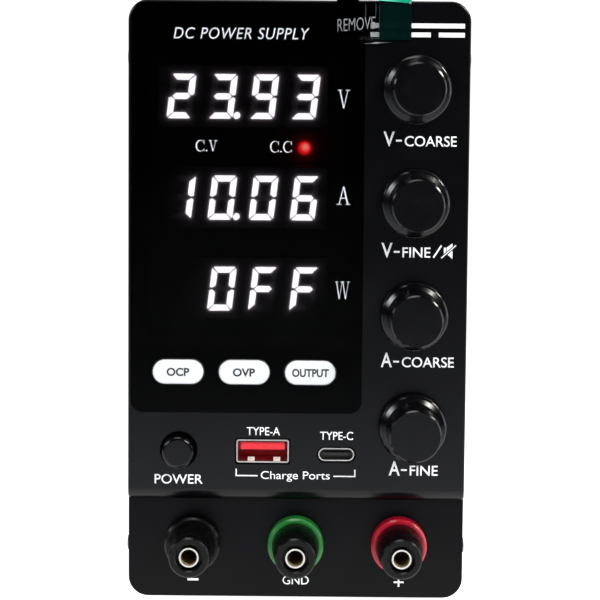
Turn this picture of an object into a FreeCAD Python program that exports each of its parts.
import FreeCAD, Part
import math
import os
import Sketcher

# A narrow upright bench power supply.  Lengths are in millimetres.
# Every sub-part is drawn in the panel's own frame: X from the middle of the front panel to the right,
# Y inwards from the panel's front face, Z up from the panel's lower edge.  place() moves that frame so
# that the whole object stands on Z = 0 with its box centred on X = 0 and Y = 0.

DOC = FreeCAD.newDocument("bench_power_supply")
DIMS = DOC.addObject("Spreadsheet::Sheet", "Dims")
PARTS = []

SIZES = {
    # the whole object
    "case_width": 84, "panel_height": 149, "case_depth": 190, "foot_height": 6,
    "front_reach": 16.5, "sheet_metal": 1.0,
    # front bezel
    "bezel_depth": 14, "panel_corner": 5, "bezel_wall": 3, "lower_recess": 3, "step_height": 25,
    "rim_rounding": 0.6, "step_rounding": 2.8, "port_gap": 0.4,
    # display window and its film
    "window_inset": 0.8, "window_right": 16, "window_bottom": 47.2, "window_corner": 4.2,
    "window_lower_corner": 3, "window_thickness": 1.5, "window_gap": 0.12,
    "opening_left": -37, "opening_right": 11.5, "opening_bottom": 66, "opening_top": 136,
    "film_thickness": 0.1, "film_gap": 0.04, "film_bottom": 63,
    "tape_left": 9, "tape_green": 19.4, "tape_right": 27.3, "tape_bottom": 139.4, "tape_top": 150,
    # knobs and their encoders
    "knob_column": 28.8, "knob_lowest": 43.9, "knob_pitch": 27.85, "knob_reach": 16, "knob_gap": 0.6,
    "knob_skirt_radius": 8.5, "knob_body_radius": 6.75, "knob_front_radius": 6.4,
    "knob_skirt_height": 3.9, "knob_rim": 2.9, "knob_shoulder": 1.5, "knob_edge": 0.35,
    "knob_hollow_radius": 7.0, "knob_hollow_depth": 2.8, "knob_bore_depth": 9.6,
    "flute_radius": 0.42, "flute_count": 36,
    "shaft_radius": 3, "running_gap": 0.05, "bushing_radius": 3.5, "nut_radius": 5.6,
    "nut_thickness": 2, "encoder_side": 12, "encoder_depth": 7,
    # pill buttons
    "pill_width": 12.6, "pill_height": 6, "pill_row": 57.3, "pill_middle": -13.1, "pill_pitch": 16.4,
    "pill_reach": 1.0, "pill_gap": 0.3, "pill_edge": 0.5, "pill_flange": 0.8,
    "tact_side": 6, "tact_depth": 3.5,
    # power button
    "power_column": -29.3, "power_row": 37.6, "power_hole_radius": 4.7, "power_cap_radius": 4,
    "power_reach": 4.6, "power_travel": 2.5, "power_edge": 0.9,
    # charger ports
    "port_a_column": -8.4, "port_a_row": 37.45, "port_a_width": 13.1, "port_a_height": 5.8,
    "port_a_wall": 0.35, "port_c_column": 9.97, "port_c_row": 36.75, "port_c_width": 8.94,
    "port_c_height": 3.26, "port_c_wall": 0.3, "port_front": 0.3,
    # binding posts
    "post_pitch": 25.85, "post_row": 13.8, "stud_radius": 2.4, "socket_radius": 2, "socket_depth": 13,
    "stud_tip": 15.9, "collar_radius": 6.95, "collar_front": 1.5, "collar_spigot": 3.9,
    "post_nut_base": 5.9, "post_nut_front": 5.0, "post_nut_start": 1.8, "post_nut_flutes": 20,
    "post_recess_radius": 3.2, "post_recess_edge": 0.3, "insert_radius": 3.9, "insert_start": 2.9, "insert_end": 13.4,
    # display electronics
    "board_front": 12.4, "board_thickness": 1.6, "board_half_width": 38,
    "display_front": 2.4, "display_left": -34.8, "display_right": 7.2, "display_height": 15.5,
    "digit_left": -32.9, "digit_pitch": 10.2, "digit_width": 6.2, "digit_height": 11, "digit_lean": 1.2,
    "volts_row": 119.9, "amps_row": 95.0, "watts_row": 72.4, "lamp_radius": 1.5, "lamp_row": 112.9,
    # rear panel, fan and inlet
    "rear_panel_thickness": 1.5, "fan_row": 104, "fan_side": 60, "fan_depth": 15,
    "fan_bore_radius": 28.7, "fan_hole_pitch": 50, "hub_radius": 12, "blade_count": 7,
    "blade_radius": 27.7, "blade_chord": 12, "blade_tilt": 35,
    "grille_radius": 27, "grille_bar_pitch": 5, "grille_slot_radius": 1.6,
    "inlet_row": 30.5, "inlet_flange": 2.6, "inlet_half_width": 25, "inlet_half_height": 17,
    "inlet_screw": 20, "socket_row": 35.6, "socket_half_width": 12.2, "socket_half_height": 8.2,
    "socket_chamfer": 4, "socket_floor": 176, "earth_offset": 2, "line_offset": 7,
    "drawer_row": 20.8, "drawer_half_width": 12.8, "drawer_half_height": 3.5, "drawer_depth": 18,
    "fuse_radius": 2.5, "fuse_length": 20,
    "selector_row": 61, "selector_half_width": 15, "selector_half_height": 6, "selector_flange": 1.2,
    "slider_half_travel": 3.4, "slider_width": 6.6, "slider_height": 6,
    # screws and feet
    "screw_radius": 1.45, "screw_hole_radius": 1.6, "screw_head_radius": 2.8, "screw_head": 1.7,
    "side_head_radius": 1.9, "side_head": 0.5, "screw_length": 6,
    "side_screw_low": 12.8, "side_screw_high": 135, "front_screw_depth": 7,
    "rear_screw_depth": 180, "foot_radius": 7, "foot_column": 30, "foot_front": 36, "foot_rear": 168,
    # inside the case
    "power_board_height": 8, "power_board_front": 30, "power_board_rear": 164,
    "lead_radius": 0.9,
}

KNOB_NAMES = ("a_fine", "a_coarse", "v_fine", "v_coarse")
BUTTON_NAMES = ("ocp", "ovp", "output")
POST_NAMES = ("minus", "ground", "plus")
COLLAR_NAMES = ("black", "green", "red")
DIGIT_ROWS = ("volts_row", "amps_row", "watts_row")

FRONT_Y = "(Dims.front_reach - Dims.case_depth - Dims.inlet_flange - Dims.screw_head) / 2"
UP = FreeCAD.Vector(0, 0, 1)


# ---------------------------------------------------------------- sheet, bodies and sketches

def fill_sheet():
    for row, (alias, value) in enumerate(SIZES.items(), start=1):
        DIMS.set(f"A{row}", alias)
        DIMS.set(f"B{row}", str(value))
        DIMS.setAlias(f"B{row}", alias)
    DOC.recompute()


def size(expression):
    """The number that an expression of sheet cells has now."""
    return float(DIMS.evalExpression(expression))


def keep(thing, label):
    """Counts a finished object as a sub-part."""
    thing.Label = label
    PARTS.append(thing)
    return thing


def place(thing, x="0", y="0", z="0"):
    thing.setExpression("Placement.Base.x", x)
    thing.setExpression("Placement.Base.y", f"{y} + {FRONT_Y}")
    thing.setExpression("Placement.Base.z", f"{z} + Dims.foot_height")


def new_body(label, x="0", z="0"):
    body = keep(DOC.addObject("PartDesign::Body", label), label)
    place(body, x, "0", z)
    return body


def origin_item(body, role):
    return next(item for item in body.Origin.OriginFeatures if item.Role == role)


def sketch(body, name, offset="0", plane="XZ_Plane"):
    """A sketch on an origin plane, moved along the plane's normal."""
    drawing = body.newObject("Sketcher::SketchObject", name)
    drawing.AttachmentSupport = [(origin_item(body, plane), "")]
    drawing.MapMode = "FlatFace"
    drawing.setExpression("AttachmentOffset.Base.z", offset)
    return drawing


def front_sketch(body, name, depth="0"):
    """A sketch that faces the front, a depth behind the panel's front face."""
    return sketch(body, name, f"-({depth})")


def constrain(drawing, kind, *elements, expression):
    index = drawing.addConstraint(Sketcher.Constraint(kind, *elements, size(expression)))
    drawing.setExpression(f"Constraints[{index}]", expression)


def pin(drawing, element, point, x=None, y=None):
    """Ties a sketch point to the distances that two expressions give from the origin."""
    if x is not None:
        constrain(drawing, "DistanceX", -1, 1, element, point, expression=x)
    if y is not None:
        constrain(drawing, "DistanceY", -1, 1, element, point, expression=y)


def polygon(drawing, corners):
    points = [FreeCAD.Vector(size(x), size(y), 0) for x, y in corners]
    first = drawing.GeometryCount
    for start, end in zip(points, points[1:] + points[:1]):
        drawing.addGeometry(Part.LineSegment(start, end), False)
    for number in range(len(corners)):
        following = first + (number + 1) % len(corners)
        drawing.addConstraint(Sketcher.Constraint("Coincident", first + number, 2, following, 1))
    for number, (x, y) in enumerate(corners):
        pin(drawing, first + number, 1, x, y)


def rectangle(drawing, left, bottom, right, top):
    polygon(drawing, [(left, bottom), (right, bottom), (right, top), (left, top)])


def circle(drawing, x, y, radius):
    centre = FreeCAD.Vector(size(x), size(y), 0)
    element = drawing.addGeometry(Part.Circle(centre, UP, size(radius)), False)
    pin(drawing, element, 3, x, y)
    constrain(drawing, "Radius", element, expression=radius)


def rounded(drawing, left, bottom, right, top, radii):
    """A rectangle with one radius per corner, counted from the lower right one anticlockwise."""
    west, south, east, north = size(left), size(bottom), size(right), size(top)
    r_se, r_ne, r_nw, r_sw = (size(radius) for radius in radii)
    sides = [((west + r_sw, south), (east - r_se, south)), ((east, south + r_se), (east, north - r_ne)),
             ((east - r_ne, north), (west + r_nw, north)), ((west, north - r_nw), (west, south + r_sw))]
    centres = [(east - r_se, south + r_se), (east - r_ne, north - r_ne),
               (west + r_nw, north - r_nw), (west + r_sw, south + r_sw)]
    first = drawing.GeometryCount
    for number in range(4):
        start, end = (FreeCAD.Vector(x, y, 0) for x, y in sides[number])
        drawing.addGeometry(Part.LineSegment(start, end), False)
        begin = math.radians(90 * number - 90)
        corner = Part.Circle(FreeCAD.Vector(*centres[number], 0), UP, size(radii[number]))
        drawing.addGeometry(Part.ArcOfCircle(corner, begin, begin + math.pi / 2), False)
    for number in range(4):
        line, arc, following = first + 2 * number, first + 2 * number + 1, first + (2 * number + 2) % 8
        drawing.addConstraint(Sketcher.Constraint("Tangent", line, 2, arc, 1))
        drawing.addConstraint(Sketcher.Constraint("Tangent", arc, 2, following, 1))
        drawing.addConstraint(Sketcher.Constraint(("Horizontal", "Vertical")[number % 2], line))
        constrain(drawing, "Radius", arc, expression=radii[number])
    pin(drawing, first, 1, y=bottom)
    pin(drawing, first + 2, 1, x=right)
    pin(drawing, first + 4, 1, y=top)
    pin(drawing, first + 6, 1, x=left)


def slot(drawing, start_x, start_y, end_x, end_y, radius):
    """A round-ended slot between two centres."""
    start = FreeCAD.Vector(size(start_x), size(start_y), 0)
    end = FreeCAD.Vector(size(end_x), size(end_y), 0)
    heading = math.atan2(end.y - start.y, end.x - start.x)
    side = FreeCAD.Vector(-math.sin(heading), math.cos(heading), 0) * size(radius)
    first = drawing.GeometryCount
    drawing.addGeometry(Part.LineSegment(start - side, end - side), False)
    far_end = Part.Circle(end, UP, size(radius))
    drawing.addGeometry(Part.ArcOfCircle(far_end, heading - math.pi / 2, heading + math.pi / 2), False)
    drawing.addGeometry(Part.LineSegment(end + side, start + side), False)
    near_end = Part.Circle(start, UP, size(radius))
    drawing.addGeometry(Part.ArcOfCircle(near_end, heading + math.pi / 2, heading + 1.5 * math.pi), False)
    for number in range(4):
        following = first + (number + 1) % 4
        drawing.addConstraint(Sketcher.Constraint("Tangent", first + number, 2, following, 1))
    drawing.addConstraint(Sketcher.Constraint("Equal", first + 1, first + 3))
    pin(drawing, first + 3, 3, start_x, start_y)
    pin(drawing, first + 1, 3, end_x, end_y)
    constrain(drawing, "Radius", first + 1, expression=radius)


def pad(body, drawing, length, inwards=True):
    """Adds a sketch's outline; a front sketch's pad runs inwards, any other along its normal."""
    feature = body.newObject("PartDesign::Pad", "pad_" + drawing.Label)
    feature.Profile = drawing
    feature.setExpression("Length", length)
    feature.Reversed = inwards
    DOC.recompute()
    return feature


def pocket(body, drawing, length=None):
    """Cuts a sketch's outline, to a depth or, with none, right through on both sides."""
    before = body.Shape.Volume
    feature = body.newObject("PartDesign::Pocket", "pocket_" + drawing.Label)
    feature.Profile = drawing
    if length is None:
        feature.Type = "ThroughAll"
        feature.Midplane = True
    else:
        feature.setExpression("Length", length)
    DOC.recompute()
    if not body.Shape.Volume < before:
        raise RuntimeError(f"{feature.Label} of {body.Label} cuts nothing")
    return feature


def revolve(body, drawing):
    """Turns a sketch on the XY plane about its own Y axis."""
    feature = body.newObject("PartDesign::Revolution", "turn_" + drawing.Label)
    feature.Profile = drawing
    feature.ReferenceAxis = (drawing, ["V_Axis"])
    feature.Angle = 360
    DOC.recompute()
    return feature


def round_edges(body, wanted, radius):
    """Fillets the edges whose middle point passes a test."""
    tip = body.Tip
    names = [f"Edge{number}" for number, edge in enumerate(tip.Shape.Edges, start=1)
             if wanted(edge.CenterOfMass, edge)]
    if not names:
        raise RuntimeError(f"no edge to round on {body.Label}")
    feature = body.newObject("PartDesign::Fillet", "rounding")
    feature.Base = (tip, names)
    feature.setExpression("Radius", radius)
    DOC.recompute()
    return feature


def repeat_around(body, feature, count):
    pattern = body.newObject("PartDesign::PolarPattern", "around_" + feature.Label)
    pattern.Originals = [feature]
    pattern.Axis = (origin_item(body, "Y_Axis"), [""])
    pattern.Angle = 360
    pattern.setExpression("Occurrences", count)
    body.Tip = pattern
    DOC.recompute()


def repeat_along(body, feature, axis_name, length, count):
    pattern = body.newObject("PartDesign::LinearPattern", "along_" + feature.Label)
    pattern.Originals = [feature]
    pattern.Direction = (origin_item(body, axis_name), [""])
    pattern.setExpression("Length", length)
    pattern.Occurrences = count
    body.Tip = pattern
    DOC.recompute()


# ---------------------------------------------------------------- primitives

def block(label, low, high):
    """A box between two corners, each given by three expressions."""
    thing = DOC.addObject("Part::Box", label)
    for name, start, end in zip(("Length", "Width", "Height"), low, high):
        thing.setExpression(name, f"({end}) - ({start})")
    place(thing, *low)
    return thing


def rod(label, centre, start, end, radius, axis="y"):
    """A cylinder along Y from one depth to another, or along Z from one height to another."""
    thing = DOC.addObject("Part::Cylinder", label)
    thing.setExpression("Radius", radius)
    thing.setExpression("Height", f"({end}) - ({start})")
    if axis == "y":
        thing.Placement.Rotation = FreeCAD.Rotation(FreeCAD.Vector(1, 0, 0), -90)
        place(thing, centre[0], start, centre[1])
    else:
        place(thing, centre[0], centre[1], start)
    return thing


def cone(label, centre, start, end, start_radius, end_radius):
    thing = DOC.addObject("Part::Cone", label)
    thing.setExpression("Radius1", start_radius)
    thing.setExpression("Radius2", end_radius)
    thing.setExpression("Height", f"({end}) - ({start})")
    place(thing, centre[0], centre[1], start)
    return thing


def fuse(label, pieces):
    thing = DOC.addObject("Part::MultiFuse", label)
    thing.Shapes = pieces
    DOC.recompute()
    return thing


def cut(label, base, tool):
    thing = DOC.addObject("Part::Cut", label)
    thing.Base = base
    thing.Tool = tool
    DOC.recompute()
    return thing


def world_point(x, y, z):
    """A point of the panel's frame, moved to the object's frame."""
    return FreeCAD.Vector(x, y + size(FRONT_Y), z + size("Dims.foot_height"))


def knob_rows():
    return [f"(Dims.knob_lowest + {number} * Dims.knob_pitch)" for number in range(len(KNOB_NAMES))]


def pill_columns():
    return [f"(Dims.pill_middle + {number} * Dims.pill_pitch)" for number in (-1, 0, 1)]


def post_columns():
    return [f"({number} * Dims.post_pitch)" for number in (-1, 0, 1)]


# ---------------------------------------------------------------- front

def pill_outlines(drawing, gap="0"):
    half = "(Dims.pill_width - Dims.pill_height) / 2"
    for column in pill_columns():
        slot(drawing, f"{column} - {half}", "Dims.pill_row", f"{column} + {half}", "Dims.pill_row",
             f"Dims.pill_height / 2 + {gap}")


def window_outline(drawing, gap="0"):
    rounded(drawing, f"-Dims.case_width / 2 + Dims.window_inset - {gap}", f"Dims.window_bottom - {gap}",
            f"Dims.window_right + {gap}", f"Dims.panel_height - Dims.window_inset + {gap}",
            ["Dims.window_lower_corner", "Dims.window_lower_corner", "Dims.window_corner",
             "Dims.window_lower_corner"])


def front_bezel():
    """The moulded front: a stepped face, a window recess, and every opening of the panel."""
    body = new_body("front_bezel")
    outline = front_sketch(body, "outline")
    rounded(outline, "-Dims.case_width / 2", "0", "Dims.case_width / 2", "Dims.panel_height",
            ["Dims.panel_corner"] * 4)
    pad(body, outline, "Dims.bezel_depth")
    step = front_sketch(body, "step")
    rectangle(step, "-Dims.case_width", "-Dims.panel_corner", "Dims.case_width", "Dims.step_height")
    pocket(body, step, "Dims.lower_recess")
    front_y = size(FRONT_Y)
    lip_z = size("Dims.step_height")
    round_edges(body, lambda middle, edge: abs(middle.y) < 0.01 and abs(middle.z - lip_z) < 0.01,
                "Dims.step_rounding")
    round_edges(body, lambda middle, edge: abs(middle.y) < 0.01 and middle.z > lip_z + 1
                and (abs(middle.x) > 30 or middle.z > size("Dims.panel_height") - 1), "Dims.rim_rounding")
    recess = front_sketch(body, "recess")
    window_outline(recess, "Dims.window_gap")
    pocket(body, recess, "Dims.window_thickness")
    hollow_openings(body)
    front_openings(body)
    side_holes = sketch(body, "side_holes", plane="YZ_Plane")
    for height in ("Dims.side_screw_low", "Dims.side_screw_high"):
        circle(side_holes, "Dims.front_screw_depth", height, "Dims.screw_hole_radius")
    pocket(body, side_holes)


def hollow_openings(body):
    inner = "Dims.case_width / 2 - Dims.bezel_wall"
    lower = front_sketch(body, "lower_hollow", "Dims.lower_recess + Dims.bezel_wall")
    rectangle(lower, f"-({inner})", "Dims.bezel_wall", inner, "Dims.panel_height - Dims.bezel_wall")
    pocket(body, lower, "Dims.bezel_depth")
    upper = front_sketch(body, "upper_hollow", "Dims.bezel_wall")
    rectangle(upper, f"-({inner})", "Dims.step_height + Dims.bezel_wall", inner,
              "Dims.panel_height - Dims.bezel_wall")
    pocket(body, upper, "Dims.bezel_depth")


def front_openings(body):
    openings = front_sketch(body, "openings")
    rectangle(openings, "Dims.opening_left", "Dims.opening_bottom", "Dims.opening_right", "Dims.opening_top")
    pill_outlines(openings, "Dims.pill_gap")
    for row in knob_rows():
        circle(openings, "Dims.knob_column", row, "Dims.bushing_radius + Dims.running_gap")
    circle(openings, "Dims.power_column", "Dims.power_row", "Dims.power_hole_radius")
    for column in post_columns():
        circle(openings, column, "Dims.post_row", "Dims.collar_spigot + Dims.running_gap")
    for port in ("port_a", "port_c"):
        half_width = f"(Dims.{port}_width / 2 + Dims.port_gap)"
        half_height = f"(Dims.{port}_height / 2 + Dims.port_gap)"
        corner = "Dims.port_gap + 0.3" if port == "port_a" else f"{half_height} - 0.1"
        rounded(openings, f"Dims.{port}_column - {half_width}", f"Dims.{port}_row - {half_height}",
                f"Dims.{port}_column + {half_width}", f"Dims.{port}_row + {half_height}", [corner] * 4)
    pocket(body, openings, "Dims.bezel_depth")


def display_window():
    body = new_body("display_window")
    outline = front_sketch(body, "outline")
    window_outline(outline)
    pad(body, outline, "Dims.window_thickness")
    pills = front_sketch(body, "pills")
    pill_outlines(pills, "Dims.pill_gap")
    pocket(body, pills, "Dims.window_thickness")


def protective_film():
    """The shipping film over the display, left on by its first owner."""
    body = new_body("protective_film")
    outline = front_sketch(body, "outline", "-Dims.film_gap - Dims.film_thickness")
    rounded(outline, "-Dims.case_width / 2 + Dims.window_inset + 0.3", "Dims.film_bottom",
            "Dims.window_right - 0.3", "Dims.panel_height - Dims.window_inset - 0.3",
            ["0.5", "0.5", "Dims.window_corner - 0.3", "0.5"])
    pad(body, outline, "Dims.film_thickness")


def film_pull_tab():
    """The pull tape: a clear printed half and a tinted half that stands above the top edge."""
    body = new_body("film_pull_tab")
    outline = front_sketch(body, "outline", "-2 * Dims.film_gap - 2 * Dims.film_thickness")
    rectangle(outline, "Dims.tape_left", "Dims.tape_bottom", "Dims.tape_right", "Dims.tape_top")
    pad(body, outline, "Dims.film_thickness")


# ---------------------------------------------------------------- knobs and encoders

def knob(name, row):
    body = new_body("knob_" + name, "Dims.knob_column", row)
    profile = sketch(body, "profile", plane="XY_Plane")
    bore = "Dims.shaft_radius + Dims.running_gap"
    polygon(profile, [
        ("0", "-Dims.knob_reach"),
        ("Dims.knob_front_radius - Dims.knob_edge", "-Dims.knob_reach"),
        ("Dims.knob_front_radius", "-Dims.knob_reach + Dims.knob_edge"),
        ("Dims.knob_body_radius", "-Dims.knob_gap - Dims.knob_skirt_height"),
        ("Dims.knob_skirt_radius", "-Dims.knob_gap - Dims.knob_rim"),
        ("Dims.knob_skirt_radius", "-Dims.knob_gap"),
        ("Dims.knob_hollow_radius", "-Dims.knob_gap"),
        ("Dims.knob_hollow_radius", "-Dims.knob_gap - Dims.knob_hollow_depth"),
        (bore, "-Dims.knob_gap - Dims.knob_hollow_depth"),
        (bore, "-Dims.knob_gap - Dims.knob_bore_depth"),
        ("0", "-Dims.knob_gap - Dims.knob_bore_depth"),
    ])
    revolve(body, profile)
    shoulder_y = -size("Dims.knob_gap + Dims.knob_rim")
    skirt = size("Dims.knob_skirt_radius")

    def is_shoulder(middle, edge):
        round_edge = isinstance(edge.Curve, Part.Circle)
        return round_edge and abs(edge.Curve.Radius - skirt) < 0.01 and abs(middle.y - shoulder_y) < 0.01

    round_edges(body, is_shoulder, "Dims.knob_shoulder")
    groove = front_sketch(body, "flute", "-Dims.knob_reach")
    circle(groove, "Dims.knob_body_radius + Dims.flute_radius / 2", "0", "Dims.flute_radius")
    flute = pocket(body, groove, "Dims.knob_reach - Dims.knob_gap - Dims.knob_skirt_height")
    repeat_around(body, flute, "Dims.flute_count")


def encoder_shaft(name, row):
    label = "encoder_shaft_" + name
    start = "-Dims.knob_gap - Dims.knob_bore_depth + 0.2"
    end = "Dims.bezel_wall + Dims.encoder_depth - 1"
    keep(rod(label, ("Dims.knob_column", row), start, end, "Dims.shaft_radius"), label)


def encoder_bodies():
    body = new_body("encoder_bodies")
    cases = front_sketch(body, "cases", "Dims.bezel_wall")
    bushings = front_sketch(body, "bushings", "-Dims.nut_thickness - 0.4")
    bores = front_sketch(body, "bores", "-Dims.nut_thickness - 0.4")
    half = "Dims.encoder_side / 2"
    for row in knob_rows():
        rectangle(cases, f"Dims.knob_column - {half}", f"{row} - {half}", f"Dims.knob_column + {half}",
                  f"{row} + {half}")
        circle(bushings, "Dims.knob_column", row, "Dims.bushing_radius")
        circle(bores, "Dims.knob_column", row, "Dims.shaft_radius + Dims.running_gap")
    pad(body, cases, "Dims.encoder_depth")
    pad(body, bushings, "Dims.bezel_wall + Dims.nut_thickness + 1")
    pocket(body, bores, "Dims.bezel_wall + Dims.nut_thickness + Dims.encoder_depth")


def encoder_nuts():
    body = new_body("encoder_nuts")
    outlines = front_sketch(body, "hexagons", "-Dims.nut_thickness")
    holes = front_sketch(body, "holes", "-Dims.nut_thickness")
    for row in knob_rows():
        corners = []
        for number in range(6):
            across = f"Dims.knob_column + Dims.nut_radius * cos({60 * number} deg)"
            corners.append((across, f"{row} + Dims.nut_radius * sin({60 * number} deg)"))
        polygon(outlines, corners)
        circle(holes, "Dims.knob_column", row, "Dims.bushing_radius + Dims.running_gap")
    pad(body, outlines, "Dims.nut_thickness")
    pocket(body, holes, "Dims.nut_thickness")


# ---------------------------------------------------------------- buttons and ports

def pill_button(name, column):
    """A pill cap with a flange that holds it in the panel and a stem for its switch."""
    body = new_body("button_" + name, column, "Dims.pill_row")
    half = "(Dims.pill_width - Dims.pill_height) / 2"
    cap = front_sketch(body, "cap", "-Dims.pill_reach")
    slot(cap, f"-{half}", "0", half, "0", "Dims.pill_height / 2")
    pad(body, cap, "Dims.pill_reach + Dims.bezel_wall + 0.3")
    front = -size("Dims.pill_reach")
    round_edges(body, lambda middle, edge: abs(middle.y - front) < 0.01, "Dims.pill_edge")
    flange = front_sketch(body, "flange", "Dims.bezel_wall + 0.3")
    slot(flange, f"-{half}", "0", half, "0", "Dims.pill_height / 2 + Dims.pill_flange")
    pad(body, flange, "Dims.pill_flange")
    stem = front_sketch(body, "stem", "Dims.bezel_wall + 0.3")
    circle(stem, "0", "0", "Dims.tact_side / 4")
    pad(body, stem, "Dims.board_front - Dims.tact_depth - Dims.bezel_wall - 0.3 - 0.8")


def tact_switches():
    half = "Dims.tact_side / 2"
    pieces = []
    for name, column in zip(BUTTON_NAMES, pill_columns()):
        low = (f"{column} - {half}", "Dims.board_front - Dims.tact_depth", f"Dims.pill_row - {half}")
        high = (f"{column} + {half}", "Dims.board_front", f"Dims.pill_row + {half}")
        pieces.append(block("tact_switch_" + name, low, high))
    keep(fuse("tact_switches", pieces), "tact_switches")


def power_button():
    body = new_body("power_button", "Dims.power_column", "Dims.power_row")
    cap = front_sketch(body, "cap", "-Dims.power_reach")
    circle(cap, "0", "0", "Dims.power_cap_radius")
    pad(body, cap, "Dims.power_reach + Dims.bezel_wall")
    front = -size("Dims.power_reach")
    round_edges(body, lambda middle, edge: abs(middle.y - front) < 0.01, "Dims.power_edge")
    stem = front_sketch(body, "stem", "Dims.bezel_wall")
    rectangle(stem, "-1.5", "-1.5", "1.5", "1.5")
    pad(body, stem, "1.6")


def power_switch():
    half = "4.1"
    start = "Dims.bezel_wall + 1.6 + Dims.power_travel + 0.2"
    low = (f"Dims.power_column - {half}", start, f"Dims.power_row - {half}")
    high = (f"Dims.power_column + {half}", "Dims.board_front", f"Dims.power_row + {half}")
    keep(block("power_switch", low, high), "power_switch")


def port_shell(port, corner):
    body = new_body(f"usb_{port[-1]}_shell", f"Dims.{port}_column", f"Dims.{port}_row")
    outline = front_sketch(body, "outline", "Dims.port_front")
    wall = f"Dims.{port}_wall"
    half_width, half_height = f"Dims.{port}_width / 2", f"Dims.{port}_height / 2"
    rounded(outline, f"-{half_width}", f"-{half_height}", half_width, half_height, [corner] * 4)
    rounded(outline, f"-{half_width} + {wall}", f"-{half_height} + {wall}", f"{half_width} - {wall}",
            f"{half_height} - {wall}", [f"{corner} - {wall}"] * 4)
    pad(body, outline, "Dims.board_front - Dims.port_front")


def port_tongue(port, half_width, bottom, top, corner, back):
    """A contact tongue on a moulded block that closes the back of the shell."""
    body = new_body(f"usb_{port[-1]}_tongue", f"Dims.{port}_column", f"Dims.{port}_row")
    tongue = front_sketch(body, "tongue", "Dims.port_front + 0.9")
    rectangle(tongue, f"-{half_width}", bottom, half_width, top)
    pad(body, tongue, "Dims.board_front - Dims.port_front - 0.9")
    block_sketch = front_sketch(body, "back", back)
    inner_width = f"Dims.{port}_width / 2 - Dims.{port}_wall - 0.02"
    inner_height = f"Dims.{port}_height / 2 - Dims.{port}_wall - 0.02"
    rounded(block_sketch, f"-({inner_width})", f"-({inner_height})", inner_width, inner_height, [corner] * 4)
    pad(body, block_sketch, f"Dims.board_front - {back}")


def board(label, bottom, top):
    low = ("-Dims.board_half_width", "Dims.board_front", bottom)
    high = ("Dims.board_half_width", "Dims.board_front + Dims.board_thickness", top)
    keep(block(label, low, high), label)


# ---------------------------------------------------------------- display

def display_rows():
    return [f"(Dims.{row} + Dims.digit_height / 2)" for row in DIGIT_ROWS]


def led_display_housings():
    pieces = []
    for number, middle in enumerate(display_rows()):
        low = ("Dims.display_left", "Dims.display_front", f"{middle} - Dims.display_height / 2")
        high = ("Dims.display_right", "Dims.board_front", f"{middle} + Dims.display_height / 2")
        pieces.append(block(f"display_housing_{number}", low, high))
    keep(fuse("led_display_housings", pieces), "led_display_housings")


def led_digits():
    """The clear lenses of the twelve digits, one leaning block each."""
    body = new_body("led_digits")
    outlines = front_sketch(body, "outlines", "Dims.display_front - 0.2")
    for row in DIGIT_ROWS:
        for number in range(4):
            left = f"Dims.digit_left + {number} * Dims.digit_pitch"
            top = f"Dims.{row} + Dims.digit_height"
            polygon(outlines, [(left, f"Dims.{row}"), (f"{left} + Dims.digit_width", f"Dims.{row}"),
                               (f"{left} + Dims.digit_width + Dims.digit_lean", top),
                               (f"{left} + Dims.digit_lean", top)])
    pad(body, outlines, "0.2")


def lamp(name, column):
    """A round light-emitting diode with a domed front."""
    middle = (column, "Dims.lamp_row")
    shank = rod("lamp_shank_" + name, middle, "3.3", "Dims.board_front", "Dims.lamp_radius")
    dome = DOC.addObject("Part::Sphere", "lamp_dome_" + name)
    dome.setExpression("Radius", "Dims.lamp_radius")
    place(dome, column, "3.3", "Dims.lamp_row")
    keep(fuse("lamp_" + name, [shank, dome]), "lamp_" + name)


# ---------------------------------------------------------------- binding posts

def post_studs():
    """Three plated tubes that take a 4 mm plug, each solid behind its socket."""
    body = new_body("post_studs")
    tubes = front_sketch(body, "tubes", "-Dims.stud_tip")
    sockets = front_sketch(body, "sockets", "-Dims.stud_tip")
    for column in post_columns():
        circle(tubes, column, "Dims.post_row", "Dims.stud_radius")
        circle(sockets, column, "Dims.post_row", "Dims.socket_radius")
    pad(body, tubes, "Dims.stud_tip + Dims.board_front + 6")
    pocket(body, sockets, "Dims.socket_depth")


def post_collar(name, column):
    """An insulating collar with a spigot through the panel."""
    body = new_body("post_collar_" + name, column, "Dims.post_row")
    profile = sketch(body, "profile", plane="XY_Plane")
    bore = "Dims.stud_radius + Dims.running_gap"
    polygon(profile, [(bore, "-Dims.collar_front"), ("Dims.collar_radius - 0.5", "-Dims.collar_front"),
                      ("Dims.collar_radius", "-Dims.collar_front + 0.5"),
                      ("Dims.collar_radius", "Dims.lower_recess"),
                      ("Dims.collar_spigot", "Dims.lower_recess"),
                      ("Dims.collar_spigot", "Dims.lower_recess + Dims.bezel_wall"),
                      (bore, "Dims.lower_recess + Dims.bezel_wall")])
    revolve(body, profile)


def post_rear_nuts():
    body = new_body("post_rear_nuts")
    start = "Dims.lower_recess + Dims.bezel_wall"
    outlines = front_sketch(body, "hexagons", start)
    holes = front_sketch(body, "holes", start)
    for column in post_columns():
        corners = []
        for number in range(6):
            across = f"{column} + Dims.nut_radius * cos({60 * number} deg)"
            corners.append((across, f"Dims.post_row + Dims.nut_radius * sin({60 * number} deg)"))
        polygon(outlines, corners)
        circle(holes, column, "Dims.post_row", "Dims.stud_radius + Dims.running_gap")
    pad(body, outlines, "Dims.nut_thickness + 1")
    pocket(body, holes, "Dims.nut_thickness + 1")


def post_insert(name, column):
    """The threaded brass sleeve moulded into a thumb nut."""
    body = new_body("post_insert_" + name, column, "Dims.post_row")
    profile = sketch(body, "profile", plane="XY_Plane")
    rectangle(profile, "Dims.stud_radius + Dims.running_gap", "-Dims.insert_end", "Dims.insert_radius",
              "-Dims.insert_start")
    revolve(body, profile)


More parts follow.
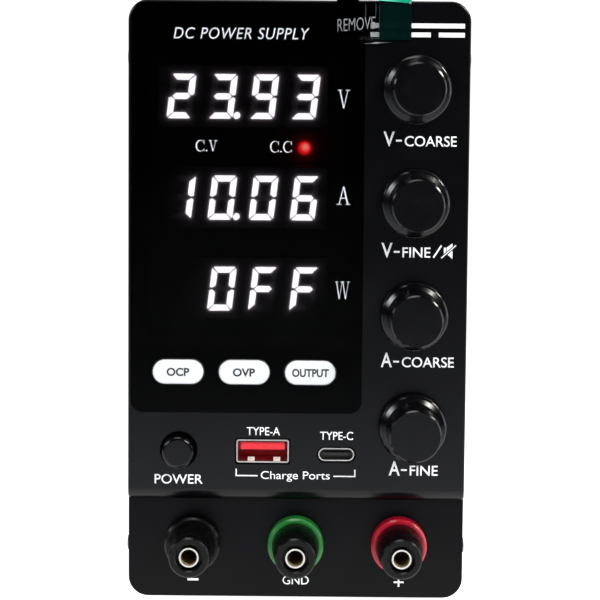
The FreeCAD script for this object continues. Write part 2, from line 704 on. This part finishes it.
def post_nut(name, column):
    """A fluted thumb nut around its brass sleeve, with a well round the stud's tip."""
    body = new_body("post_nut_" + name, column, "Dims.post_row")
    profile = sketch(body, "profile", plane="XY_Plane")
    sleeve = "Dims.insert_radius + Dims.running_gap"
    neck = "Dims.stud_radius + 3 * Dims.running_gap"
    sleeve_start = "-Dims.insert_start + Dims.running_gap"
    sleeve_end = "-Dims.insert_end - Dims.running_gap"
    polygon(profile, [("Dims.post_recess_radius", "-Dims.front_reach + Dims.post_recess_edge"),
                      ("Dims.post_recess_radius + Dims.post_recess_edge", "-Dims.front_reach"),
                      ("Dims.post_nut_front - 0.4", "-Dims.front_reach"),
                      ("Dims.post_nut_front", "-Dims.front_reach + 0.4"),
                      ("Dims.post_nut_base", "-Dims.post_nut_start"),
                      (neck, "-Dims.post_nut_start"), (neck, sleeve_start), (sleeve, sleeve_start),
                      (sleeve, sleeve_end), ("Dims.post_recess_radius", sleeve_end)])
    revolve(body, profile)
    groove = front_sketch(body, "flute", "-Dims.front_reach")
    circle(groove, "Dims.post_nut_base + 0.35", "0", "0.6")
    flute = pocket(body, groove, "Dims.front_reach - Dims.post_nut_start - 2")
    repeat_around(body, flute, "Dims.post_nut_flutes")


# ---------------------------------------------------------------- case

def case_cover():
    """The folded cover: top and two sides, with side and top louvres."""
    body = new_body("case_cover")
    outline = front_sketch(body, "outline", "Dims.bezel_depth")
    outer, inner = "Dims.case_width / 2 - 0.4", "Dims.case_width / 2 - 0.4 - Dims.sheet_metal"
    top = "Dims.panel_height - 0.6"
    rounded(outline, f"-({outer})", "-10", outer, top, ["Dims.panel_corner"] * 4)
    rounded(outline, f"-({inner})", "-9", inner, f"{top} - Dims.sheet_metal",
            ["Dims.panel_corner - Dims.sheet_metal"] * 4)
    pad(body, outline, "Dims.case_depth - Dims.bezel_depth")
    opening = front_sketch(body, "opening", "Dims.bezel_depth - 1")
    rectangle(opening, "-Dims.case_width", "-20", "Dims.case_width", "0.6")
    pocket(body, opening, "Dims.case_depth + 10")
    for name, start, count in (("front", 34, 8), ("rear", 120, 8)):
        louvre = sketch(body, "side_slots_" + name, plane="YZ_Plane")
        slot(louvre, f"{start}", "46", f"{start}", "76", "1.25")
        slot(louvre, f"{start}", "86", f"{start}", "116", "1.25")
        repeat_along(body, pocket(body, louvre), "Y_Axis", "42", count)
    top_slots = sketch(body, "top_slots", "Dims.panel_height + 1", plane="XY_Plane")
    slot(top_slots, "-22", "60", "22", "60", "1.25")
    repeat_along(body, pocket(body, top_slots, "4"), "Y_Axis", "84", 15)
    holes = sketch(body, "screw_holes", plane="YZ_Plane")
    for height in ("Dims.side_screw_low", "Dims.side_screw_high"):
        circle(holes, "Dims.rear_screw_depth", height, "Dims.screw_hole_radius")
    pocket(body, holes)


def chassis_tray():
    """The folded floor: a plate with two side lips, four board pillars and floor louvres."""
    body = new_body("chassis_tray")
    profile = front_sketch(body, "profile", "Dims.bezel_depth")
    outer, inner = "(Dims.case_width / 2 - 1.5)", "(Dims.case_width / 2 - 1.5 - Dims.sheet_metal)"
    polygon(profile, [(f"-{outer}", "0.6"), (outer, "0.6"), (outer, "22"), (inner, "22"),
                      (inner, "0.6 + Dims.sheet_metal"), (f"-{inner}", "0.6 + Dims.sheet_metal"),
                      (f"-{inner}", "22"), (f"-{outer}", "22")])
    pad(body, profile, "Dims.case_depth - Dims.rear_panel_thickness - Dims.bezel_depth")
    pillars = sketch(body, "pillars", "0.6 + Dims.sheet_metal / 2", plane="XY_Plane")
    for across in ("-31", "31"):
        for along in ("Dims.power_board_front + 6", "Dims.power_board_rear - 6"):
            circle(pillars, across, along, "2.5")
    pad(body, pillars, "Dims.power_board_height - 0.6 - Dims.sheet_metal / 2", inwards=False)
    vents = sketch(body, "floor_slots", "Dims.power_board_height", plane="XY_Plane")
    slot(vents, "-18", "62", "18", "62", "1.25")
    repeat_along(body, pocket(body, vents, "Dims.power_board_height"), "Y_Axis", "72", 13)
    feet = sketch(body, "foot_holes", "Dims.power_board_height", plane="XY_Plane")
    for across in ("-Dims.foot_column", "Dims.foot_column"):
        for along in ("Dims.foot_front", "Dims.foot_rear"):
            circle(feet, across, along, "Dims.screw_hole_radius")
    pocket(body, feet, "Dims.power_board_height")
    sides = sketch(body, "screw_holes", plane="YZ_Plane")
    circle(sides, "Dims.rear_screw_depth", "Dims.side_screw_low", "Dims.screw_hole_radius")
    pocket(body, sides)


def rear_panel():
    body = new_body("rear_panel")
    face = "Dims.case_depth - Dims.rear_panel_thickness"
    half = "(Dims.case_width / 2 - 1.5)"
    outline = front_sketch(body, "outline", face)
    rounded(outline, f"-{half}", "0.6 + Dims.sheet_metal", half, "Dims.panel_height - 1.7", ["3.9"] * 4)
    pad(body, outline, "Dims.rear_panel_thickness")
    flanges = front_sketch(body, "flanges", "Dims.rear_screw_depth - 6")
    for inner, outer in ((f"-{half}", f"-{half} + Dims.sheet_metal"), (f"{half} - Dims.sheet_metal", half)):
        rectangle(flanges, inner, "Dims.side_screw_high - 8", outer, "Dims.side_screw_high + 8")
    pad(body, flanges, "Dims.case_depth - Dims.rear_screw_depth + 5")
    grille = front_sketch(body, "grille", face)
    for number in range(-5, 6):
        chord = f"(sqrt(Dims.grille_radius ^ 2 - ({number} * Dims.grille_bar_pitch) ^ 2)" \
                " - Dims.grille_slot_radius)"
        column = f"{number} * Dims.grille_bar_pitch"
        slot(grille, column, f"Dims.fan_row - {chord}", column, f"Dims.fan_row + {chord}",
             "Dims.grille_slot_radius")
    pocket(body, grille, "Dims.rear_panel_thickness")
    cutouts = front_sketch(body, "cutouts", face)
    rectangle(cutouts, "-15.2", "Dims.inlet_row - 15.7", "15.2", "Dims.inlet_row + 15.7")
    rectangle(cutouts, "-9.2", "Dims.selector_row - 5.2", "9.2", "Dims.selector_row + 5.2")
    for across in ("-Dims.fan_hole_pitch / 2", "Dims.fan_hole_pitch / 2"):
        for side in ("-", "+"):
            circle(cutouts, across, f"Dims.fan_row {side} Dims.fan_hole_pitch / 2", "Dims.screw_hole_radius")
    for across in ("-Dims.inlet_screw", "Dims.inlet_screw"):
        circle(cutouts, across, "Dims.inlet_row", "Dims.screw_hole_radius")
    pocket(body, cutouts, "Dims.rear_panel_thickness")
    holes = sketch(body, "screw_holes", plane="YZ_Plane")
    circle(holes, "Dims.rear_screw_depth", "Dims.side_screw_high", "Dims.screw_hole_radius")
    pocket(body, holes)


def rubber_feet():
    feet = []
    for across in ("-Dims.foot_column", "Dims.foot_column"):
        for along in ("Dims.foot_front", "Dims.foot_rear"):
            name = f"foot_{len(feet)}"
            body = cone(name, (across, along), "-Dims.foot_height", "0.6", "Dims.foot_radius - 0.8",
                        "Dims.foot_radius")
            recess = rod(name + "_recess", (across, along), "-Dims.foot_height - 1", "-2.5",
                         "Dims.screw_head_radius + 0.3", axis="z")
            bore = rod(name + "_bore", (across, along), "-3", "1", "Dims.screw_hole_radius", axis="z")
            feet.append(cut(name + "_bored", body, fuse(name + "_holes", [recess, bore])))
    keep(fuse("rubber_feet", feet), "rubber_feet")


def screw_shape(x, y, z, direction, kind="screw"):
    """A cross-recessed screw; its head sits on the point and points along direction."""
    head, radius = size(f"Dims.{kind}_head"), size(f"Dims.{kind}_head_radius")
    bevel = 0.53 * head
    shank, length = size("Dims.screw_radius"), size("Dims.screw_length")
    points = [FreeCAD.Vector(*point) for point in
              ((0, 0, head), (radius - bevel, 0, head), (radius, 0, head - bevel), (radius, 0, 0),
               (shank, 0, 0), (shank, 0, -length), (0, 0, -length))]
    edges = [Part.LineSegment(points[0], points[1]).toShape()]
    inset = bevel * (1 - math.sqrt(0.5))
    bend = FreeCAD.Vector(radius - inset, 0, head - inset)
    edges.append(Part.Arc(points[1], bend, points[2]).toShape())
    for start, end in zip(points[2:], points[3:] + points[:1]):
        edges.append(Part.LineSegment(start, end).toShape())
    solid = Part.Face(Part.Wire(edges)).revolve(FreeCAD.Vector(), UP, 360)
    arm, width, depth = radius * 0.56, 0.36, 0.6 * head
    for length_x, length_y in ((arm, width), (width, arm)):
        corner = FreeCAD.Vector(-length_x, -length_y, head - depth)
        solid = solid.cut(Part.makeBox(2 * length_x, 2 * length_y, depth + 1, corner))
    solid.Placement = FreeCAD.Placement(world_point(x, y, z), FreeCAD.Rotation(UP, direction))
    return solid


def machine_screws():
    """All the screws: low heads on the case sides; pan heads at the feet, fan and inlet."""
    screws = []
    side = size("Dims.case_width / 2")
    low, high = size("Dims.side_screw_low"), size("Dims.side_screw_high")
    front_row, rear_row = size("Dims.front_screw_depth"), size("Dims.rear_screw_depth")
    for sign in (-1, 1):
        outwards = FreeCAD.Vector(sign, 0, 0)
        for height in (low, high):
            screws.append(screw_shape(sign * side, front_row, height, outwards, "side"))
            screws.append(screw_shape(sign * (side - 0.4), rear_row, height, outwards, "side"))
        for along in (size("Dims.foot_front"), size("Dims.foot_rear")):
            screws.append(screw_shape(sign * size("Dims.foot_column"), along, -2.5, -UP))
        pitch, rear = size("Dims.fan_hole_pitch / 2"), size("Dims.case_depth")
        backwards = FreeCAD.Vector(0, 1, 0)
        for rise in (-pitch, pitch):
            screws.append(screw_shape(sign * pitch, rear, size("Dims.fan_row") + rise, backwards))
        screws.append(screw_shape(sign * size("Dims.inlet_screw"), rear + size("Dims.inlet_flange"),
                                  size("Dims.inlet_row"), backwards))
    feature = DOC.addObject("Part::Feature", "machine_screws")
    feature.Shape = Part.makeCompound(screws)
    keep(feature, "machine_screws")


# ---------------------------------------------------------------- rear

def fan_frame():
    body = new_body("fan_frame", "0", "Dims.fan_row")
    half = "Dims.fan_side / 2"
    start = "Dims.case_depth - Dims.rear_panel_thickness - Dims.fan_depth"
    outline = front_sketch(body, "outline", start)
    rounded(outline, f"-{half}", f"-{half}", half, half, ["4"] * 4)
    pad(body, outline, "Dims.fan_depth")
    bore = front_sketch(body, "bore", start)
    circle(bore, "0", "0", "Dims.fan_bore_radius")
    pocket(body, bore, "Dims.fan_depth")
    spider = front_sketch(body, "spider", start)
    circle(spider, "0", "0", "Dims.hub_radius")
    pad(body, spider, "1.6")
    for name, angle in (("first", 30), ("second", 150), ("third", 270)):
        arm = front_sketch(body, "arm_" + name, start)
        corners = []
        for along, across in (("(Dims.hub_radius - 2)", -1.5), ("(Dims.fan_bore_radius + 1)", -1.5),
                              ("(Dims.fan_bore_radius + 1)", 1.5), ("(Dims.hub_radius - 2)", 1.5)):
            corners.append((f"{along} * cos({angle} deg) - ({across}) * sin({angle} deg)",
                            f"{along} * sin({angle} deg) + ({across}) * cos({angle} deg)"))
        polygon(arm, corners)
        pad(body, arm, "1.6")
    holes = front_sketch(body, "holes", start)
    for across in ("-Dims.fan_hole_pitch / 2", "Dims.fan_hole_pitch / 2"):
        for rise in ("-Dims.fan_hole_pitch / 2", "Dims.fan_hole_pitch / 2"):
            circle(holes, across, rise, "Dims.screw_hole_radius")
    pocket(body, holes, "Dims.fan_depth")


def fan_rotor():
    """A hub with tilted blades, trimmed to the fan's bore."""
    start = "(Dims.case_depth - Dims.rear_panel_thickness - Dims.fan_depth + 2.2)"
    hub = rod("fan_hub", ("0", "Dims.fan_row"), start, f"{start} + 11.6", "Dims.hub_radius")
    pieces = [hub]
    axle = world_point(0, size(start) + 5.8, size("Dims.fan_row"))
    for number in range(int(size("Dims.blade_count"))):
        blade = DOC.addObject("Part::Box", f"fan_blade_{number}")
        blade.setExpression("Length", "Dims.blade_radius - Dims.hub_radius + 3")
        blade.setExpression("Width", "Dims.blade_chord")
        blade.Height = 1.2
        turn = FreeCAD.Rotation(FreeCAD.Vector(0, 1, 0), 360 * number / size("Dims.blade_count"))
        tilt = FreeCAD.Rotation(FreeCAD.Vector(1, 0, 0), size("Dims.blade_tilt"))
        corner = FreeCAD.Vector(size("Dims.hub_radius") - 2, -size("Dims.blade_chord") / 2, -0.6)
        spin = turn.multiply(tilt)
        blade.Placement = FreeCAD.Placement(axle + spin.multVec(corner), spin)
        pieces.append(blade)
    limit = rod("fan_limit", ("0", "Dims.fan_row"), start, f"{start} + 11.6", "Dims.blade_radius")
    rotor = DOC.addObject("Part::Common", "fan_rotor")
    rotor.Base = fuse("fan_rotor_untrimmed", pieces)
    rotor.Tool = limit
    DOC.recompute()
    keep(rotor, "fan_rotor")


def mains_inlet():
    """A flush appliance inlet: flange, housing, plug socket and a slot for the fuse drawer."""
    body = new_body("mains_inlet")
    flange = front_sketch(body, "flange", "Dims.case_depth")
    rounded(flange, "-Dims.inlet_half_width", "Dims.inlet_row - Dims.inlet_half_height",
            "Dims.inlet_half_width", "Dims.inlet_row + Dims.inlet_half_height", ["4"] * 4)
    pad(body, flange, "Dims.inlet_flange")
    housing = front_sketch(body, "housing", "Dims.socket_floor - 6")
    rectangle(housing, "-15", "Dims.inlet_row - 15.5", "15", "Dims.inlet_row + 15.5")
    pad(body, housing, "Dims.case_depth - Dims.socket_floor + 6")
    well = front_sketch(body, "well", "Dims.socket_floor")
    low, high = "Dims.socket_row - Dims.socket_half_height", "Dims.socket_row + Dims.socket_half_height"
    wide, narrow = "Dims.socket_half_width", "(Dims.socket_half_width - Dims.socket_chamfer)"
    polygon(well, [(f"-{wide}", low), (wide, low), (wide, f"{high} - Dims.socket_chamfer"), (narrow, high),
                   (f"-{narrow}", high), (f"-{wide}", f"{high} - Dims.socket_chamfer")])
    pocket(body, well, "Dims.case_depth")
    drawer = front_sketch(body, "drawer_slot", "Dims.case_depth - Dims.drawer_depth")
    rectangle(drawer, "-Dims.drawer_half_width - 0.2", "Dims.drawer_row - Dims.drawer_half_height - 0.2",
              "Dims.drawer_half_width + 0.2", "Dims.drawer_row + Dims.drawer_half_height + 0.2")
    pocket(body, drawer, "Dims.case_depth")
    holes = front_sketch(body, "holes", "Dims.case_depth")
    for across in ("-Dims.inlet_screw", "Dims.inlet_screw"):
        circle(holes, across, "Dims.inlet_row", "Dims.screw_hole_radius")
    pocket(body, holes, "Dims.inlet_flange")
    pins = front_sketch(body, "pin_holes", "Dims.socket_floor - 7")
    for low_corner, high_corner in pin_corners("0"):
        rectangle(pins, low_corner[0], low_corner[1], high_corner[0], high_corner[1])
    pocket(body, pins, "8")


def pin_corners(gap):
    corners = []
    for column, rise in (("-Dims.line_offset", "-"), ("0", "+"), ("Dims.line_offset", "-")):
        row = f"(Dims.socket_row {rise} Dims.earth_offset)"
        corners.append(((f"{column} - 1 - {gap}", f"{row} - 2 - {gap}"),
                        (f"{column} + 1 + {gap}", f"{row} + 2 + {gap}")))
    return corners


def inlet_pins():
    body = new_body("inlet_pins")
    outlines = front_sketch(body, "outlines", "Dims.socket_floor - 12")
    for low_corner, high_corner in pin_corners("0"):
        rectangle(outlines, low_corner[0], low_corner[1], high_corner[0], high_corner[1])
    pad(body, outlines, "Dims.case_depth - Dims.socket_floor + 12")


def fuse_drawer():
    body = new_body("fuse_drawer")
    outline = front_sketch(body, "outline", "Dims.case_depth - Dims.drawer_depth + 0.5")
    rectangle(outline, "-Dims.drawer_half_width", "Dims.drawer_row - Dims.drawer_half_height",
              "Dims.drawer_half_width", "Dims.drawer_row + Dims.drawer_half_height")
    pad(body, outline, "Dims.drawer_depth + Dims.inlet_flange")
    bed = sketch(body, "fuse_bed", "Dims.drawer_row + Dims.drawer_half_height", plane="XY_Plane")
    middle = "(Dims.case_depth - Dims.drawer_depth + 6)"
    rectangle(bed, "-Dims.fuse_length / 2 - 0.3", f"{middle} - Dims.fuse_radius - 0.2",
              "Dims.fuse_length / 2 + 0.3", f"{middle} + Dims.fuse_radius + 0.2")
    pocket(body, bed, "2 * Dims.drawer_half_height - 1.2")
    notch = front_sketch(body, "grip", "Dims.case_depth + Dims.inlet_flange - 0.6")
    rectangle(notch, "-3", "Dims.drawer_row - 1", "3", "Dims.drawer_row + 1")
    pocket(body, notch, "3")


def fuse_link():
    """A glass fuse lying across the drawer."""
    link = DOC.addObject("Part::Cylinder", "glass_fuse")
    link.setExpression("Radius", "Dims.fuse_radius")
    link.setExpression("Height", "Dims.fuse_length")
    link.Placement.Rotation = FreeCAD.Rotation(FreeCAD.Vector(0, 1, 0), 90)
    place(link, "-Dims.fuse_length / 2", "(Dims.case_depth - Dims.drawer_depth + 6)",
          "Dims.drawer_row - Dims.drawer_half_height + 1.2 + Dims.fuse_radius")
    keep(link, "fuse_link")


def voltage_selector():
    body = new_body("voltage_selector")
    flange = front_sketch(body, "flange", "Dims.case_depth")
    rounded(flange, "-Dims.selector_half_width", "Dims.selector_row - Dims.selector_half_height",
            "Dims.selector_half_width", "Dims.selector_row + Dims.selector_half_height", ["2"] * 4)
    pad(body, flange, "Dims.selector_flange")
    housing = front_sketch(body, "housing", "Dims.case_depth - 9")
    rectangle(housing, "-9", "Dims.selector_row - 5", "9", "Dims.selector_row + 5")
    pad(body, housing, "9")
    well = front_sketch(body, "well", "Dims.case_depth - 5")
    half_width = "(Dims.slider_half_travel + Dims.slider_width / 2 + 0.2)"
    half_height = "(Dims.slider_height / 2 + 0.2)"
    rectangle(well, f"-{half_width}", f"Dims.selector_row - {half_height}", half_width,
              f"Dims.selector_row + {half_height}")
    pocket(body, well, "8")


def voltage_slider():
    half_height = "Dims.slider_height / 2"
    low = ("Dims.slider_half_travel - Dims.slider_width / 2", "Dims.case_depth - 4.9",
           f"Dims.selector_row - {half_height}")
    high = ("Dims.slider_half_travel + Dims.slider_width / 2", "Dims.case_depth",
            f"Dims.selector_row + {half_height}")
    keep(block("voltage_slider", low, high), "voltage_slider")


# ---------------------------------------------------------------- inside the case

def power_board():
    low = ("-37", "Dims.power_board_front", "Dims.power_board_height")
    high = ("37", "Dims.power_board_rear", "Dims.power_board_height + Dims.board_thickness")
    keep(block("power_board", low, high), "power_board")


def transformer():
    """A laminated core with two windings standing through it."""
    top = "Dims.power_board_height + Dims.board_thickness"
    core = block("transformer_core", ("-24", "84", f"{top} + 4"), ("14", "120", f"{top} + 30"))
    bobbin = block("transformer_bobbin", ("-18", "80", top), ("8", "124", f"{top} + 34"))
    keep(fuse("transformer", [core, bobbin]), "transformer")


def capacitors():
    top = "Dims.power_board_height + Dims.board_thickness"
    places = (("-22", "46", "9", "32"), ("0", "46", "9", "32"),
              ("-24", "144", "7", "24"), ("-6", "144", "7", "24"))
    cans = []
    for number, (across, along, radius, height) in enumerate(places):
        cans.append(rod(f"capacitor_{number}", (across, along), top, f"{top} + {height}", radius, axis="z"))
    keep(fuse("capacitors", cans), "capacitors")


def heatsinks():
    """Two finned extrusions on edge beside the transformer."""
    top = "Dims.power_board_height + Dims.board_thickness"
    pieces = []
    for number, start in enumerate((40, 104)):
        low, high = ("22", f"{start}", top), ("25", f"{start + 50}", f"{top} + 62")
        pieces.append(block(f"heatsink_plate_{number}", low, high))
        for fin in range(7):
            low = ("24", f"{start + 1 + 7.6 * fin:.1f}", top)
            high = ("35", f"{start + 3 + 7.6 * fin:.1f}", f"{top} + 62")
            pieces.append(block(f"heatsink_fin_{number}_{fin}", low, high))
    keep(fuse("heatsinks", pieces), "heatsinks")


def lead_shape(route, bend):
    """A round lead along straight runs joined by tangent arcs of one radius."""
    points = [world_point(*point) for point in route]
    edges = []
    start = points[0]
    for before, corner, after in zip(points, points[1:], points[2:]):
        arriving = (corner - before).normalize()
        leaving = (after - corner).normalize()
        turn = arriving.getAngle(leaving)
        setback = bend * math.tan(turn / 2)
        arc_start = corner - arriving * setback
        arc_end = corner + leaving * setback
        inwards = (leaving - arriving).normalize()
        middle = corner + inwards * (bend / math.cos(turn / 2) - bend)
        edges.append(Part.LineSegment(start, arc_start).toShape())
        edges.append(Part.Arc(arc_start, middle, arc_end).toShape())
        start = arc_end
    edges.append(Part.LineSegment(start, points[-1]).toShape())
    path = Part.Wire(edges)
    direction = (points[1] - points[0]).normalize()
    section = Part.Wire(Part.makeCircle(size("Dims.lead_radius"), points[0], direction))
    solid = path.makePipeShell([section], True, True)
    expected = path.Length * math.pi * size("Dims.lead_radius") ** 2
    if abs(solid.Volume / expected - 1) > 0.02:
        raise RuntimeError("a lead's volume is not its length times its section")
    return solid


def inner_leads():
    """Output leads from the posts to the power board, and mains leads from the inlet to it."""
    board_top = size("Dims.power_board_height + Dims.board_thickness")
    stud_end = size("Dims.board_front") + 6
    leads = []
    for number in (-1, 0, 1):
        column = number * size("Dims.post_pitch")
        route = [(column, stud_end, size("Dims.post_row")), (column, stud_end + 6, size("Dims.post_row")),
                 (column * 0.8, stud_end + 12, board_top + 10), (column * 0.8, stud_end + 17, board_top + 9),
                 (column * 0.8, stud_end + 17, board_top)]
        leads.append(lead_shape(route, 1.9))
    back = size("Dims.socket_floor") - 12
    for across, target in ((-size("Dims.line_offset"), -14), (size("Dims.line_offset"), 16)):
        height = size("Dims.socket_row - Dims.earth_offset")
        route = [(across, back, height), (across, back - 8, height), (target, 154, height - 6),
                 (target, 154, board_top)]
        leads.append(lead_shape(route, 3))
    feature = DOC.addObject("Part::Feature", "inner_leads")
    feature.Shape = Part.makeCompound(leads)
    keep(feature, "inner_leads")


# ---------------------------------------------------------------- assembly and output

def build_all():
    front_bezel()
    display_window()
    protective_film()
    film_pull_tab()
    for name, row in zip(KNOB_NAMES, knob_rows()):
        knob(name, row)
        encoder_shaft(name, row)
    encoder_bodies()
    encoder_nuts()
    for name, column in zip(BUTTON_NAMES, pill_columns()):
        pill_button(name, column)
    tact_switches()
    power_button()
    power_switch()
    port_shell("port_a", "0.6")
    port_tongue("port_a", "5.5", "0.3", "2.1", "0.2", "Dims.board_front - 1.4")
    port_shell("port_c", "1.6")
    port_tongue("port_c", "3.35", "-0.35", "0.35", "1.28", "Dims.board_front - 5")
    board("charger_board", "20", "50.5")
    board("display_board", "51.5", "145.5")
    led_display_housings()
    led_digits()
    lamp("cv", "-17")
    lamp("cc", "1.4")
    post_studs()
    post_rear_nuts()
    for name, collar, column in zip(POST_NAMES, COLLAR_NAMES, post_columns()):
        post_collar(collar, column)
        post_insert(name, column)
        post_nut(name, column)
    case_cover()
    chassis_tray()
    rear_panel()
    rubber_feet()
    machine_screws()
    fan_frame()
    fan_rotor()
    mains_inlet()
    inlet_pins()
    fuse_drawer()
    fuse_link()
    voltage_selector()
    voltage_slider()
    power_board()
    transformer()
    capacitors()
    heatsinks()
    inner_leads()


def check_all():
    DOC.recompute()
    for thing in DOC.Objects:
        if "Invalid" in thing.State or "Error" in thing.State:
            raise RuntimeError(f"{thing.Label} failed: {thing.State}")
    for part in PARTS:
        if part.Shape.isNull() or not part.Shape.isValid():
            raise RuntimeError(f"{part.Label} has no valid shape")


def write_all():
    os.makedirs("parts", exist_ok=True)
    for part in PARTS:
        part.Shape.exportStep(f"parts/{part.Label}.step")
        box = part.Shape.BoundBox
        print(f"{part.Label:22s} {len(part.Shape.Solids):3d} solids {part.Shape.Volume:10.1f} mm3"
              f"  X {box.XMin:7.2f} {box.XMax:7.2f}  Y {box.YMin:8.2f} {box.YMax:8.2f}"
              f"  Z {box.ZMin:7.2f} {box.ZMax:7.2f}")


fill_sheet()
build_all()
check_all()
write_all()
